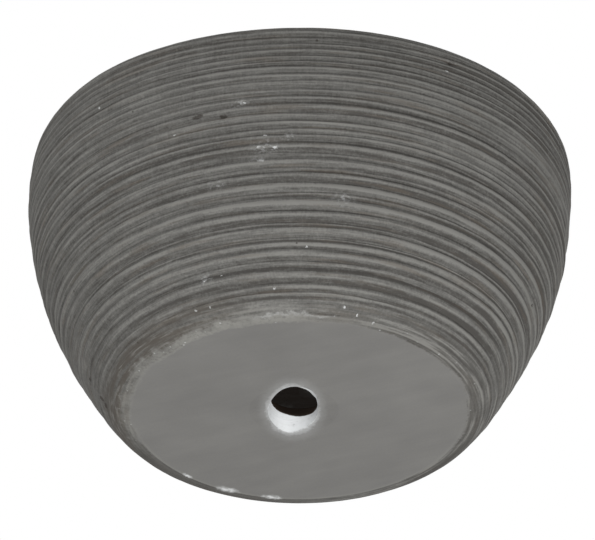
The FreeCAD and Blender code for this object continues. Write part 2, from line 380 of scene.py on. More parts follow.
def flatten_by_hand(places, turns):
    """How far inward each point of the wall lies on the broad flats."""
    inward = np.zeros(places.shape[:2])
    for azimuth, height, half_turn, half_height, depth in HAND_FLATS:
        across = degrees_off(turns, azimuth)
        up = places[..., 2] / MM - height
        near = np.clip(1 - (across / half_turn) ** 2, 0, 1) * np.clip(1 - (up / half_height) ** 2, 0, 1)
        inward += depth * MM * smooth_step(0, 1, near)
    return inward


def wall_mesh(sizes):
    """The combed coat, from its seam under the base up over the rim and down its hidden back."""
    columns = 384
    rng = np.random.default_rng(SEED)
    section = Section(sizes)
    turns = round_turns(columns)
    rib_radii, rib_heights, rib_tones = rib_rows(section, turns, rng)
    foot_centre = (sizes.base_radius, sizes.foot_round)
    foot = arc(foot_centre, sizes.foot_round, -math.pi / 2, section.foot_end, 14)[:-1]
    cap_under = sizes.pot_height - sizes.coat_thickness
    inside = section.radius(cap_under, section.seal_depth)
    outer_edge = section.radius(section.rib_top) - sizes.rim_round
    inner_edge = inside + sizes.rim_round
    rim = arc((outer_edge, section.rib_top), sizes.rim_round, 0, math.pi / 2, 6)
    rim += [(outer_edge + (inner_edge - outer_edge) * share, sizes.pot_height) for share in (0.25, 0.5, 0.75)]
    rim += arc((inner_edge, section.rib_top), sizes.rim_round, math.pi / 2, math.pi, 5)
    back = [(inside, cap_under)]
    back_foot = sizes.foot_round - sizes.coat_thickness
    back_low = sizes.foot_round + back_foot * math.sin(section.foot_end)
    for height in np.linspace(cap_under, back_low, 9):
        back.append((section.radius(height, sizes.coat_thickness), height))
    back += arc(foot_centre, back_foot, section.foot_end, -math.pi / 2, 4)[1:]
    parts = [even_rows(foot, columns), (rib_radii, rib_heights)]
    parts += [even_rows(rim, columns), even_rows(back, columns)]
    radii = np.concatenate([part[0] for part in parts])
    heights = np.concatenate([part[1] for part in parts])
    ribs_end = len(foot) + len(rib_radii)
    shown = ribs_end + len(rim)
    tones = np.full(radii.shape, 0.6)
    tones[len(foot):ribs_end] = rib_tones
    over_rim = np.sin(np.linspace(0, math.pi, len(rim)))[:, None] ** 0.5
    tones[ribs_end:shown] += 0.14 * wander(turns, rng, 20) * over_rim
    places = places_of(radii, heights, turns)
    surface = places[:shown]
    lumps = 0.18 * MM * roughness_of(surface, 9 * MM, seed=1)
    lumps += 0.2 * MM * roughness_of(surface, (70 * MM, 70 * MM, 2.6 * MM), seed=2)
    wobble = sizes.hand_wobble * wander(turns, rng, 6) * (surface[..., 2] / sizes.pot_height)
    held = np.ones((shown, 1))
    held[-len(rim):, 0] = np.linspace(1, 0, len(rim))
    spread = held * smooth_step(0.4 * sizes.pot_height, sizes.widest_height, surface[..., 2])
    wobble += sizes.rim_spread * np.sin(2 * turns) ** 2 * spread
    wobble -= held * flatten_by_hand(surface, turns)
    fade = smooth_step(0, 3 * MM, surface[..., 2])
    out = (lumps * fade + wobble) / np.hypot(surface[..., 0], surface[..., 1])
    surface[..., :2] *= (1 + out)[..., None]
    press_pits(surface, turns)
    return turned_object("wall_face_coat_combed", places, {"rib_tone_light_and_shade": tones})


def drain_lean(sizes):
    """How far the drain hole is drawn off the axis at the base, along X and Y."""
    return np.array((-sizes.drain_askew, -sizes.drain_askew))


def base_mesh(sizes):
    """The trowelled disc under the pot, a little hollow and uneven, with its hidden upper side."""
    columns = 288
    turns = round_turns(columns)
    face = [(radius, 0) for radius in np.linspace(sizes.liner_radius, sizes.base_radius, 44)]
    back = [(radius, sizes.coat_thickness) for radius in (sizes.base_radius, sizes.liner_radius)]
    radii, heights = even_rows(face + back, columns)
    places = places_of(radii, heights, turns)
    drawn = 1 - smooth_step(sizes.liner_radius, 0.6 * sizes.base_radius, radii)
    places[..., :2] += drain_lean(sizes) * drawn[..., None]
    within = slice(1, len(face) - 1)
    surface = places[within]
    sweep = 0.5 + 0.5 * roughness_of(surface, 45 * MM, seed=3)
    ripple = 0.5 + 0.5 * roughness_of(surface, 11 * MM, seed=4)
    inner = smooth_step(sizes.liner_radius, sizes.liner_radius + 10 * MM, radii[within])
    outer = smooth_step(sizes.base_radius, sizes.base_radius - 14 * MM, radii[within])
    surface[..., 2] += np.clip(0.22 * MM * sweep + 0.07 * MM * ripple, 0, None) * inner * outer
    return turned_object("base_face_coat_trowelled", places, {})


def drain_mesh(sizes):
    """The mortar lining: its mouth is drawn long to the front and back, where the plug was rocked out."""
    columns = 192
    turns = round_turns(columns)
    rng = np.random.default_rng(SEED + 1)
    full = np.ones(columns)
    rock_turns = turns - ROCK_TURN
    rocked = np.cos(rock_turns) ** 2
    wide = sizes.drain_radius + sizes.mouth_flare * (1 - 0.5 * np.sin(turns))
    long = wide + sizes.mouth_pull
    sharpness = 1.95 + 0.3 * np.cos(rock_turns)
    across = np.abs(np.sin(rock_turns) / wide) ** sharpness
    along = np.abs(np.cos(rock_turns) / long) ** sharpness
    mouth = (across + along) ** (-1 / sharpness) + 0.25 * MM * wander(turns, rng, 24)
    bore = sizes.drain_radius + sizes.bore_pull * rocked + 0.25 * MM * wander(turns, rng, 16)
    tilt = -sizes.drain_tilt * np.sin(turns)
    land = sizes.mouth_depth + sizes.drain_land + tilt
    radius_rows, height_rows, dark_rows, lean_rows = [], [], [], []

    def ring(radius, height, dark, lean):
        radius_rows.append(radius * full)
        height_rows.append(height * full)
        dark_rows.append(dark * full)
        lean_rows.append(lean * full)

    face_rings = 9
    for share in np.linspace(0, 1, face_rings):
        ring(sizes.liner_radius + (mouth - sizes.liner_radius) * share, 0, 0, 1)
    for share in np.linspace(0, 1, 17)[1:]:
        height = sizes.mouth_depth * share ** 0.95 + tilt * share
        ring(mouth + (bore - mouth) * share, height, 0, 1)
    for share in np.linspace(0, 1, 6)[1:]:
        ring(bore, sizes.mouth_depth + tilt + sizes.drain_land * share, share, 1)
    for share in np.linspace(0, 1, 8)[1:]:
        funnel = bore + (sizes.drain_radius + sizes.funnel_flare - bore) * share
        ring(funnel, land + (sizes.floor_level - land) * share, 1 + share, 1 - share)
    ring(sizes.liner_radius, sizes.floor_level, 2, 0)
    places = places_of(np.array(radius_rows), np.array(height_rows), turns)
    places[..., :2] += drain_lean(sizes) * np.array(lean_rows)[..., None]
    skin = places[face_rings:-1]
    lumps = 0.12 * MM * roughness_of(skin, 2.2 * MM, seed=5)
    lumps += 0.1 * MM * roughness_of(skin, 5 * MM, seed=6)
    skin[..., :2] *= (1 + lumps / np.hypot(skin[..., 0], skin[..., 1]))[..., None]
    return turned_object("drain_liner_mortar", places, {"slurry": np.array(dark_rows)})


def seal_mesh(sizes):
    """The brushed coat over the floor and the inner wall, with its hidden back against the core."""
    columns = 256
    section = Section(sizes)
    turns = round_turns(columns)
    top = sizes.pot_height - sizes.coat_thickness
    core_depth = sizes.coat_thickness + sizes.core_thickness
    slab_top = sizes.floor_level - sizes.seal_thickness
    seal_arc = section.wall_arc - section.seal_depth
    drop = sizes.widest_height - sizes.floor_level - sizes.cove_radius
    reach = math.sqrt((seal_arc - sizes.cove_radius) ** 2 - drop ** 2)
    cove_centre = (section.axis + reach, sizes.floor_level + sizes.cove_radius)
    cove_end = math.atan2(-drop, reach)
    cove_height = cove_centre[1] + sizes.cove_radius * math.sin(cove_end)
    back = [(sizes.liner_radius, slab_top)]
    back += [(section.radius(height, core_depth), height) for height in np.linspace(slab_top, top, 10)]
    wall_heights = np.linspace(top, cove_height, 52)
    wall = [(section.radius(height, section.seal_depth), height) for height in wall_heights]
    cove = arc(cove_centre, sizes.cove_radius, cove_end, -math.pi / 2, 10)[1:]
    floor_radii = np.linspace(cove_centre[0], sizes.liner_radius, 22)[1:]
    floor = [(radius, sizes.floor_level) for radius in floor_radii]
    radii, heights = even_rows(back + wall + cove + floor, columns)
    places = places_of(radii, heights, turns)
    skin = places[len(back) + 1:-1]
    brushed = 0.5 + 0.5 * roughness_of(skin, 30 * MM, seed=7) + 0.3 * roughness_of(skin, 7 * MM, seed=8)
    slack = 0.5 * MM * np.clip(brushed, 0, 1)
    inward = np.stack([-skin[..., 0], -skin[..., 1], sizes.pot_height - skin[..., 2]], -1)
    skin += inward / np.linalg.norm(inward, axis=-1, keepdims=True) * slack[..., None]
    return turned_object("inner_seal_coat_brushed", places, {})


def add(tree, kind, inputs, output=0, **settings):
    """Add a node with its settings; an input is a value, or the output of another node to link."""
    node = tree.nodes.new("ShaderNode" + kind)
    for setting, value in settings.items():
        setattr(node, setting, value)
    for socket, value in inputs.items():
        if isinstance(value, bpy.types.NodeSocket):
            tree.links.new(value, node.inputs[socket])
        else:
            node.inputs[socket].default_value = value
    return node.outputs[output] if node.outputs else None


# Sockets of a Mix node that mixes colours
FACTOR, FIRST, SECOND, RESULT = 0, 6, 7, 2


def new_material(name):
    """An empty node material, its node tree, and the place on the object that its patterns follow."""
    material = bpy.data.materials.new(name)
    material.use_nodes = True
    tree = material.node_tree
    tree.nodes.clear()
    return material, tree, add(tree, "TexCoord", {}, output="Object")


def mixed(first, second, share):
    """A colour that lies a share of the way from one to another."""
    return [near + (far - near) * share for near, far in zip(first, second)]


def join_masks(tree, *masks, operation="MULTIPLY"):
    """Masks joined into one. A mask is a socket, a number, or a soft edge: a value, where it starts and where
    it is full, and then what it gives there, unless that is 0 and 1."""
    joined = None
    for mask in masks:
        if isinstance(mask, tuple):
            value, start, full, *ends = mask
            least, most = ends or (0.0, 1.0)
            edge = {"Value": value, "From Min": start, "From Max": full, "To Min": least, "To Max": most}
            mask = add(tree, "MapRange", edge, interpolation_type="SMOOTHSTEP")
        joined = mask if joined is None else add(tree, "Math", {0: joined, 1: mask}, operation=operation)
    return joined


def lay_over(tree, tint, *layers):
    """Lay colours over a colour one after another; a layer is its colour and the masks that multiply into
    its share."""
    for cover, *masks in layers:
        sockets = {FACTOR: join_masks(tree, *masks)}
        for socket, side in ((FIRST, tint), (SECOND, cover)):
            sockets[socket] = side if isinstance(side, bpy.types.NodeSocket) else (*side, 1.0)
        tint = add(tree, "Mix", sockets, output=RESULT, data_type="RGBA")
    return tint


def swing(tree, value, *patterns):
    """Value, moved up and down by patterns that swing about a half; each comes with its amount."""
    for pattern, amount in patterns:
        centred = add(tree, "Math", {0: pattern, 1: 0.5}, operation="SUBTRACT")
        value = add(tree, "Math", {0: centred, 1: amount, 2: value}, operation="MULTIPLY_ADD")
    return value


def finish_cement(tree, tint, roughness, relief, relief_height, specular):
    """Close a dry mineral surface onto one shader. Roughness is a pattern with the least and most that it
    gives; relief is patterns, each with its amount."""
    pattern, least, most = roughness
    height = swing(tree, 0.5, *relief)
    surface = {
        "Base Color": tint,
        "Roughness": add(tree, "MapRange", {"Value": pattern, "To Min": least, "To Max": most}),
        "Normal": add(tree, "Bump", {"Height": height, "Strength": 0.6, "Distance": relief_height}),
        "IOR": 1.5,
        "Specular IOR Level": specular,
    }
    add(tree, "OutputMaterial", {"Surface": add(tree, "BsdfPrincipled", surface)})


def grain(tree, place, across, up=None, detail=2.0):
    """Noise with grains of a size, or of one size across and another up the wall, in millimetres."""
    stretch = (PER_METRE / across, PER_METRE / across, PER_METRE / (up or across))
    scaled = add(tree, "VectorMath", {0: place, 1: stretch}, operation="MULTIPLY")
    return add(tree, "TexNoise", {"Vector": scaled, "Scale": 1.0, "Detail": detail, "Roughness": 0.6})


def axis_distance(tree, place):
    """Distance from the pot's axis."""
    level = add(tree, "VectorMath", {0: place, 1: (1, 1, 0)}, operation="MULTIPLY")
    return add(tree, "VectorMath", {0: level}, output="Value", operation="LENGTH")


def splash_mask(tree, place, up, splashes, spread, squat, rag_size, core_share):
    """1 on each splash of a list, out to a share of its half width, with an edge ragged at a size in
    millimetres. Spread is the radius that azimuths are laid out at, and a splash is squat times as wide
    as tall."""
    aside, rearward, _ = add(tree, "SeparateXYZ", {0: place}).node.outputs
    frontward = add(tree, "Math", {0: rearward, 1: -1.0}, operation="MULTIPLY")
    turn = add(tree, "Math", {0: aside, 1: frontward}, operation="ARCTAN2")
    along = add(tree, "Math", {0: turn, 1: spread}, operation="MULTIPLY")
    tall = add(tree, "Math", {0: up, 1: squat}, operation="MULTIPLY")
    flat = add(tree, "CombineXYZ", {"X": along, "Y": tall})
    grains = {"Vector": place, "Scale": PER_METRE / rag_size, "Detail": 2.0}
    rag = add(tree, "TexNoise", grains, output="Color")
    nudge = add(tree, "VectorMath", {0: rag, 1: (0.5, 0.5, 0.5)}, operation="SUBTRACT")
    reach = 2.2 * rag_size * MM
    ragged = add(tree, "VectorMath", {0: nudge, 1: (reach, reach, 0), 2: flat}, operation="MULTIPLY_ADD")
    spots = []
    for azimuth, height, half_width in splashes:
        centre = (math.radians(azimuth) * spread, squat * height * MM, 0)
        off = add(tree, "VectorMath", {0: ragged, 1: centre}, output="Value", operation="DISTANCE")
        spots.append((off, half_width * MM, half_width * MM * core_share))
    return join_masks(tree, *spots, operation="MAXIMUM")


def edge_chips(tree, place, radius, sizes):
    """1 where the edge of the base is chipped down to the pale core, less where grey is smeared over it."""
    chips = splash_mask(
        tree, place, radius, EDGE_CHIPS, sizes.base_radius, squat=2.5, rag_size=3.2, core_share=0.15
    )
    return join_masks(tree, chips, (grain(tree, place, 3.4, detail=3.0), 0.38, 0.6, 0.4, 1.15))


def specks(tree, place, spacing, half_width, share):
    """1 on round specks scattered at a spacing, in millimetres; only a share of the places holds one."""
    cells = add(tree, "TexVoronoi", {"Vector": place, "Scale": PER_METRE / spacing}).node.outputs
    chosen = add(tree, "Math", {0: cells["Color"], 1: 1 - share}, operation="GREATER_THAN")
    edge = half_width / spacing
    return join_masks(tree, (cells["Distance"], edge, 0.4 * edge), chosen)


def seam_lines(tree, place):
    """Distance from the axis, swung so that what follows the seam of the base runs unevenly: a gritty line,
    and a ragged one."""
    broad = swing(tree, axis_distance(tree, place), (grain(tree, place, 30), 10 * MM))
    gritty = swing(tree, broad, (grain(tree, place, 2.6, detail=3.0), 5 * MM))
    ragged = swing(tree, broad, (grain(tree, place, 4.5, detail=4.0), 9 * MM))
    return gritty, ragged


def seam_paste(tree, place, seam_radius, tint, colours):
    """Lay the gritty paste of the base's seam over a colour, on the near side of the foot: pale and thick at
    the left, with dust beside it, a paler lip in front, brown and thin at the right, and with lime crumbs."""
    aside, rearward, _ = add(tree, "SeparateXYZ", {0: place}).node.outputs
    gritty, ragged = seam_lines(tree, place)
    near = join_masks(tree, (rearward, 55 * MM, 0.0))
    grit = join_masks(tree, (grain(tree, place, 2.4, detail=3.0), 0.18, 0.62))
    off_base = join_masks(tree, (gritty, seam_radius - 1 * MM, seam_radius + 1.5 * MM))
    band = join_masks(tree, off_base, (ragged, seam_radius + 9.5 * MM, seam_radius + 4 * MM), near)
    left = (aside, 50 * MM, -20 * MM)
    paste = (
        lay_over(tree, mixed(colours.seam, colours.earth, 0.4), (colours.seam, left)),
        band,
        grit,
        (grain(tree, place, 13, detail=3.0), 0.36, 0.58, 0.45, 1.1),
        (*left, 0.15, 1.0),
        (aside, -120 * MM, -50 * MM, 0.45, 1.0),
    )
    dusting = (
        colours.seam,
        off_base,
        (ragged, seam_radius + 18 * MM, seam_radius + 6 * MM),
        (grain(tree, place, 3.2, detail=3.0), 0.32, 0.66),
        (aside, -95 * MM, -55 * MM),
        (aside, 20 * MM, -25 * MM),
        near,
        0.45,
    )
    lip = (
        colours.lime,
        (ragged, seam_radius + 4.5 * MM, seam_radius + 6.5 * MM),
        (ragged, seam_radius + 8.5 * MM, seam_radius + 7 * MM),
        (aside, -32 * MM, -22 * MM),
        (aside, 24 * MM, 12 * MM),
        near,
        grit,
        0.17,
    )
    crumbs = (colours.lime, specks(tree, place, spacing=2.8, half_width=0.8, share=0.3), band, 0.35)
    return lay_over(tree, tint, paste, dusting, lip, crumbs)


def combed_render(sizes, colours):
    """Cement render tinted grey and dragged with a comb: matt and powdery, with ribs pale at the crests by
    rubbing and painted highlight, furrows gritty and in painted shade, and long drag lines round the pot. It
    has knocks painted dark as shade, and lime in splashes and as dust. The foot is scored, muddy at the left
    and in painted shade at the back."""
    material, tree, place = new_material("combed_cement_render")
    tone = add(tree, "Attribute", {}, output="Fac", attribute_name="rib_tone_light_and_shade")
    aside, rearward, rise = add(tree, "SeparateXYZ", {0: place}).node.outputs
    radius = axis_distance(tree, place)
    seam_radius = sizes.base_radius
    gritty, ragged = seam_lines(tree, place)

    # On the foot the drag lines are rings, painted with stronger dark and pale at both sides as the shade and
    # light of deeper scoring
    ringed = add(tree, "CombineXYZ", {"X": aside, "Y": rearward, "Z": radius})
    foot = join_masks(tree, (rise, 12 * MM, 3 * MM))
    foot_drag = grain(tree, ringed, 60, up=2.2, detail=4.0)
    drag = lay_over(tree, grain(tree, place, 60, up=1.1, detail=4.0), (foot_drag, foot))
    right = join_masks(tree, (aside, 20 * MM, 75 * MM))
    scored = join_masks(tree, right, (aside, -50 * MM, -95 * MM, 0.0, 0.6), 0.35, operation="MAXIMUM")
    depth = {"Value": join_masks(tree, foot, scored), "To Min": 1.0, "To Max": 3.2}
    score_light_and_shade = add(tree, "MapRange", depth)

    cloud = grain(tree, place, 34, up=16)
    # Sand grains are about 0.4 mm; they are drawn three times as coarse, so that they show
    sand = grain(tree, place, 1.3)
    brush = grain(tree, place, 1.5, up=24)
    clot = grain(tree, place, 3.4, up=2.2)
    dash = grain(tree, place, 16, up=0.9)
    level = swing(
        tree,
        tone,
        (drag, score_light_and_shade),
        (cloud, 0.3),
        (clot, 0.4),
        (sand, 0.6),
        (brush, 0.35),
        (dash, 0.9),
    )

    back_foot_shade_edge = join_masks(tree, (rise, 0.7 * MM, 2.2 * MM), (aside, 40 * MM, -20 * MM), operation="MAXIMUM")
    mud = (
        mixed(colours.earth, colours.furrow, 0.72),
        (ragged, seam_radius + 5 * MM, seam_radius + 9 * MM),
        (ragged, seam_radius + 22 * MM, seam_radius + 13 * MM),
        (aside, -20 * MM, -60 * MM),
        (drag, 0.35, 0.53),
        (dash, 0.66, 0.46, 0.3, 1.0),
        0.9,
    )
    base_skin, _, _ = trowel_marks(tree, place, colours)
    lap = (gritty, seam_radius + 2.5 * MM, seam_radius + 0.5 * MM)
    tint = lay_over(
        tree,
        colours.furrow,
        (colours.face, (level, 0.0, 0.55)),
        (colours.crest, (level, 0.45, 1.0)),
        (colours.earth, (grain(tree, place, 45, up=2.6, detail=3.0), 0.52, 0.72), 0.35),
        # Painted shade on the foot at the back, where it rounds away under the pot
        (colours.furrow, (rearward, 10 * MM, 60 * MM), (rise, 14 * MM, 5 * MM), back_foot_shade_edge, 0.7),
        mud,
        (colours.furrow, foot, right, (drag, 0.62, 0.45), 0.5),
        (base_skin, lap, (rearward, 70 * MM, 30 * MM)),
    )
    tint = seam_paste(tree, place, seam_radius, tint, colours)

    round_wall = 0.85 * sizes.rim_radius
    knocks = [knock[:3] for knock in WALL_PITS]
    pits = splash_mask(tree, place, rise, knocks, round_wall, squat=2.0, rag_size=3.0, core_share=0.4)
    dots = splash_mask(tree, place, rise, BLOWHOLES, round_wall, squat=2.3, rag_size=0.8, core_share=0.5)
    pores = specks(tree, place, spacing=17, half_width=1.1, share=0.3)
    # Knocks, pores and blowholes are painted dark, as painted shade in their hollows
    hole_shade = join_masks(tree, pits, pores, dots, operation="MAXIMUM")
    dust = splash_mask(tree, place, rise, LIME_DUST, round_wall, squat=1.6, rag_size=4.0, core_share=0.0)
    powder = grain(tree, place, 2.6, up=1.4, detail=3.0)
    lime = splash_mask(tree, place, rise, LIME_SPLASHES, round_wall, squat=2.0, rag_size=1.6, core_share=0.2)
    drops = specks(tree, place, spacing=30, half_width=1.0, share=0.2)
    splash = join_masks(tree, lime, drops, operation="MAXIMUM")
    thinning = {"From Min": 0.35, "From Max": 0.65, "To Min": 0.35, "To Max": 0.95}
    cover = add(tree, "MapRange", {"Value": grain(tree, place, 9), **thinning})
    tint = lay_over(
        tree,
        tint,
        (colours.seal, hole_shade, 0.7),
        (colours.lime, dust, (powder, 0.45, 0.68), 0.3),
        (colours.lime, splash, cover),
        (colours.lime, edge_chips(tree, place, radius, sizes), (rise, 5 * MM, 2 * MM), 0.7),
    )
    relief = [(drag, 0.8), (sand, 0.5), (splash, 0.3)]
    finish_cement(tree, tint, (sand, 0.72, 0.95), relief, 0.4 * MM, specular=0.16)
    return material


def trowel_marks(tree, place, colours):
    """Colour of the trowelled skin, and the patterns of its sweeps and of its grain."""
    turned = add(tree, "VectorRotate", {"Vector": place, "Angle": SWEEP_TURN}, rotation_type="Z_AXIS")
    stretched = add(tree, "VectorMath", {0: turned, 1: (0.2, 1, 1)}, operation="MULTIPLY")
    sweep = grain(tree, stretched, 15, detail=4.0)
    cloud = grain(tree, place, 48)
    # Trowelled paste is finer than the picture shows; its grain is drawn at 1.6 mm
    paste = grain(tree, place, 1.6)
    level = swing(tree, 0.5, (sweep, 1.3), (cloud, 1.2), (paste, 0.5))
    dark = mixed(colours.base, colours.furrow, 0.2)
    pale = mixed(colours.base, colours.seam, 0.3)
    return lay_over(tree, dark, (pale, level)), sweep, paste


def trowelled_skin(sizes, colours):
    """Cement closed with a steel trowel: smooth and even, with faint sweeps, a pale halo at the drain, a
    ragged paste edge in front, and an edge worn pale and chipped at the back."""
    material, tree, place = new_material("trowelled_cement_skin")
    rearward = add(tree, "SeparateXYZ", {0: place}, output="Y")
    radius = axis_distance(tree, place)
    tint, sweep, paste = trowel_marks(tree, place, colours)
    tint = drain_bloom(tree, place, sizes, tint, colours)
    tint = seam_paste(tree, place, sizes.base_radius, tint, colours)
    at_edge = (radius, sizes.base_radius - 2.6 * MM, sizes.base_radius - 0.6 * MM)
    tint = lay_over(
        tree,
        tint,
        (colours.seam, at_edge, sweep, (rearward, 0.0, 50 * MM), 0.6),
        (colours.lime, edge_chips(tree, place, radius, sizes), 0.7),
    )
    relief = [(sweep, 0.5), (paste, 0.25)]
    finish_cement(tree, tint, (sweep, 0.65, 0.88), relief, 0.12 * MM, specular=0.08)
    return material


def drain_bloom(tree, place, sizes, tint, colours):
    """Lay the white of the drain's mouth over a colour: a ragged soft bloom on the skin round it, and bare
    lime inside the mouth, greyer at its front edge."""
    lean = drain_lean(sizes)
    wide = sizes.drain_radius + sizes.mouth_flare
    long = wide + sizes.mouth_pull
    centre = (lean[0] - 0.5 * sizes.mouth_flare, lean[1], 0)
    off = add(tree, "VectorMath", {0: place, 1: centre}, operation="SUBTRACT")
    shaped = add(tree, "VectorMath", {0: off, 1: (1 / wide, 1 / long, 0)}, operation="MULTIPLY")
    reach = add(tree, "VectorMath", {0: shaped}, output="Value", operation="LENGTH")
    reach = swing(tree, reach, (grain(tree, place, 2.2, detail=4.0), 0.22), (grain(tree, place, 14), 0.3))
    rearward = add(tree, "SeparateXYZ", {0: off}, output="Y")
    return lay_over(
        tree,
        tint,
        (colours.mortar, (reach, 1.5, 1.0), 0.12),
        (colours.mortar, (reach, 1.14, 1.0), 0.28),
        (colours.mortar, (reach, 1.0, 0.86), (rearward, -12 * MM, 2 * MM, 0.5, 1.0)),
    )


def lime_mortar(sizes, colours):
    """White lime mortar smoothed round a plug: chalky, with fine rings, fading ragged into the grey skin
    below and into dark slurry above, partly the slurry's own colour and partly painted shade inside the bore."""
    material, tree, place = new_material("white_lime_mortar")
    slurry = add(tree, "Attribute", {}, output="Fac", attribute_name="slurry")
    rise = add(tree, "SeparateXYZ", {0: place}, output="Z")
    rings = grain(tree, place, 40, up=0.9)
    crumb = grain(tree, place, 2.4, detail=3.0)
    base_skin, _, _ = trowel_marks(tree, place, colours)
    flare = join_masks(tree, (rise, 0.1 * MM, 0.7 * MM))
    grime = swing(tree, 0.06, (rings, 0.5), (crumb, 0.4))
    # The dark slurry in the bore and funnel is partly its own colour and partly painted shade of the hole
    bore_shade_slurry = lay_over(tree, colours.seal * 1.8, (colours.seal, (slurry, 1.85, 2.0)))
    tint = lay_over(
        tree,
        drain_bloom(tree, place, sizes, base_skin, colours),
        (colours.mortar, flare),
        (colours.seam, (grime, 0.0, 0.7), flare),
        (bore_shade_slurry, (swing(tree, slurry, (crumb, 0.4)), 0.05, 0.2)),
    )
    relief = [(crumb, 0.6), (rings, 0.6)]
    finish_cement(tree, tint, (crumb, 0.75, 0.95), relief, 0.25 * MM, specular=0.0)
    return material


def seal_slurry(sizes, colours):
    """Dark cement slurry brushed on, its near-black partly painted shade of the pot's inside: dull, streaked
    by the brush round the bowl, with dusty patches.
    """
    material, tree, place = new_material("brushed_seal_slurry")
    rise = add(tree, "SeparateXYZ", {0: place}, output="Z")
    strokes = grain(tree, place, 60, up=2.6, detail=3.0)
    cloud = grain(tree, place, 40)
    speck = grain(tree, place, 2)
    level = swing(tree, 0.4, (strokes, 1.1), (cloud, 0.9), (speck, 0.6))
    round_inside = 0.8 * sizes.rim_radius
    dust = splash_mask(tree, place, rise, SEAL_DUST, round_inside, squat=1.4, rag_size=9.0, core_share=0.0)
    tint = lay_over(
        tree,
        colours.seal,
        (mixed(colours.seal, colours.face, 0.2), (level, 0.15, 0.95)),
        (colours.face, dust, 0.45),
    )
    relief = [(strokes, 0.7), (speck, 0.4)]
    finish_cement(tree, tint, (cloud, 0.55, 0.8), relief, 0.3 * MM, specular=0.08)
    return material


def fibre_cement(name, colours):
    """Pale cement packed with chopped fibre: rough, with short fibres and small voids."""
    material, tree, place = new_material(name)
    fibre = grain(tree, place, 9, up=1.2, detail=3.0)
    crumb = grain(tree, place, 2.5)
    level = swing(tree, 0.3, (fibre, 0.7), (crumb, 0.5))
    tint = lay_over(tree, colours.core, (colours.seam, (level, 0.1, 0.9)))
    relief = [(fibre, 1.0), (crumb, 0.6)]
    finish_cement(tree, tint, (crumb, 0.8, 0.98), relief, 0.4 * MM, specular=0.2)
    return material


def dress(scene, shape, finish, node):
    """Make a piece and its finish from the scene's sizes and colours, to ride in place of its solid."""
    sizes = scene.planter_sizes
    piece = shape(sizes)
    piece.data.materials.append(finish(sizes, scene.planter_colours))
    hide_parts(node)
    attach(piece, "root")


class PLANTER_OT_comb_wall(bpy.types.Operator):
    """Make the grey coat of the wall, combed into ribs and turned over the rim"""

    bl_idname = "planter.comb_wall"
    bl_label = "Comb Wall"

    def execute(self, context):
        dress(context.scene, wall_mesh, combed_render, "wall_face_coat")
        return {"FINISHED"}


class PLANTER_OT_trowel_base(bpy.types.Operator):
    """Make the smooth grey coat under the base"""

    bl_idname = "planter.trowel_base"
    bl_label = "Trowel Base"

    def execute(self, context):
        dress(context.scene, base_mesh, trowelled_skin, "base_face_coat")
        return {"FINISHED"}


class PLANTER_OT_line_drain(bpy.types.Operator):
    """Make the white mortar lining of the drain hole"""

    bl_idname = "planter.line_drain"
    bl_label = "Line Drain"

    def execute(self, context):
        dress(context.scene, drain_mesh, lime_mortar, "drain_liner")
        return {"FINISHED"}


class PLANTER_OT_brush_seal(bpy.types.Operator):
    """Make the dark seal coat on the inside"""

    bl_idname = "planter.brush_seal"
    bl_label = "Brush Seal Coat"

    def execute(self, context):
        dress(context.scene, seal_mesh, seal_slurry, "inner_seal_coat")
        return {"FINISHED"}


class PLANTER_OT_finish_pours(bpy.types.Operator):
    """Give the pale wall core and floor slab, which keep their solids, their finish"""

    bl_idname = "planter.finish_pours"
    bl_label = "Finish Hidden Pours"

    def execute(self, context):
        colours = context.scene.planter_colours
        for node, name in (("wall_core", "pale_fibre_cement_wall"), ("base_slab", "pale_fibre_cement_floor")):
            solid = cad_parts[node]
            solid.data.materials.clear()
            solid.data.materials.append(fibre_cement(name, colours))
        return {"FINISHED"}


# Lamps of the studio: azimuth and elevation in degrees, width in metres and share of full light
LAMPS = {
    "lamp_under": (20, -66, 1.1, 0.44),
    "lamp_left": (-75, -2, 1.3, 0.25),
    "lamp_right": (78, -56, 1.2, 0.36),
    "lamp_front": (-14, 0, 1.4, 0.33),
    "lamp_back": (165, 58, 1.6, 0.5),
}
LAMP_DISTANCE = 2.2
AMBIENT = 0.24
FLOOR_GLOW = 0.42
WHITE = (1, 1, 1, 1)

# Viewpoint of the picture: under the pot, looking up along +Y
VIEW_RISE = math.radians(33.5)
VIEW_DISTANCE = 3.132
VIEW_TARGET_HEIGHT = 0.086
VIEW_LIFT = 0.01764
VIEW_SIDE = -0.00098
VIEW_LENS = 298.6
SENSOR_WIDTH = 36.0


def hang_lamps():
    """Soft square lamps that all face the pot."""
    target = Vector((0, 0, cad_box[1].z / 2))
    for name, (azimuth, elevation, width, share) in LAMPS.items():
        turn, rise = math.radians(azimuth), math.radians(elevation)
        towards = Vector((math.sin(turn) * math.cos(rise), -math.cos(turn) * math.cos(rise), math.sin(rise)))
        data = bpy.data.lights.new(name, "AREA")
        data.size = width
        data.energy = share * (math.pi * LAMP_DISTANCE) ** 2
        lamp = bpy.data.objects.new(name, data)
        lamp.location = target + towards * LAMP_DISTANCE
        lamp.rotation_euler = towards.to_track_quat("Z", "Y").to_euler()
        bpy.context.scene.collection.objects.link(lamp)


def seen_share(tree):
    """1 for rays that show the background: straight, mirrored or through glass."""
    rays = add(tree, "LightPath", {}).node.outputs
    kinds = ("Is Camera Ray", "Is Glossy Ray", "Is Transmission Ray")
    return join_masks(tree, *[rays[kind] for kind in kinds], operation="MAXIMUM")


def light_world():
    """White where it is seen, and a weak even light on the pot."""
    world = bpy.data.worlds.new("white_studio")
    world.use_nodes = True
    tree = world.node_tree
    tree.nodes.clear()
    strength = add(tree, "MapRange", {"Value": seen_share(tree), "To Min": AMBIENT, "To Max": 1.0})
    light = add(tree, "Background", {"Color": WHITE, "Strength": strength})
    add(tree, "OutputWorld", {"Surface": light})
    bpy.context.scene.world = world


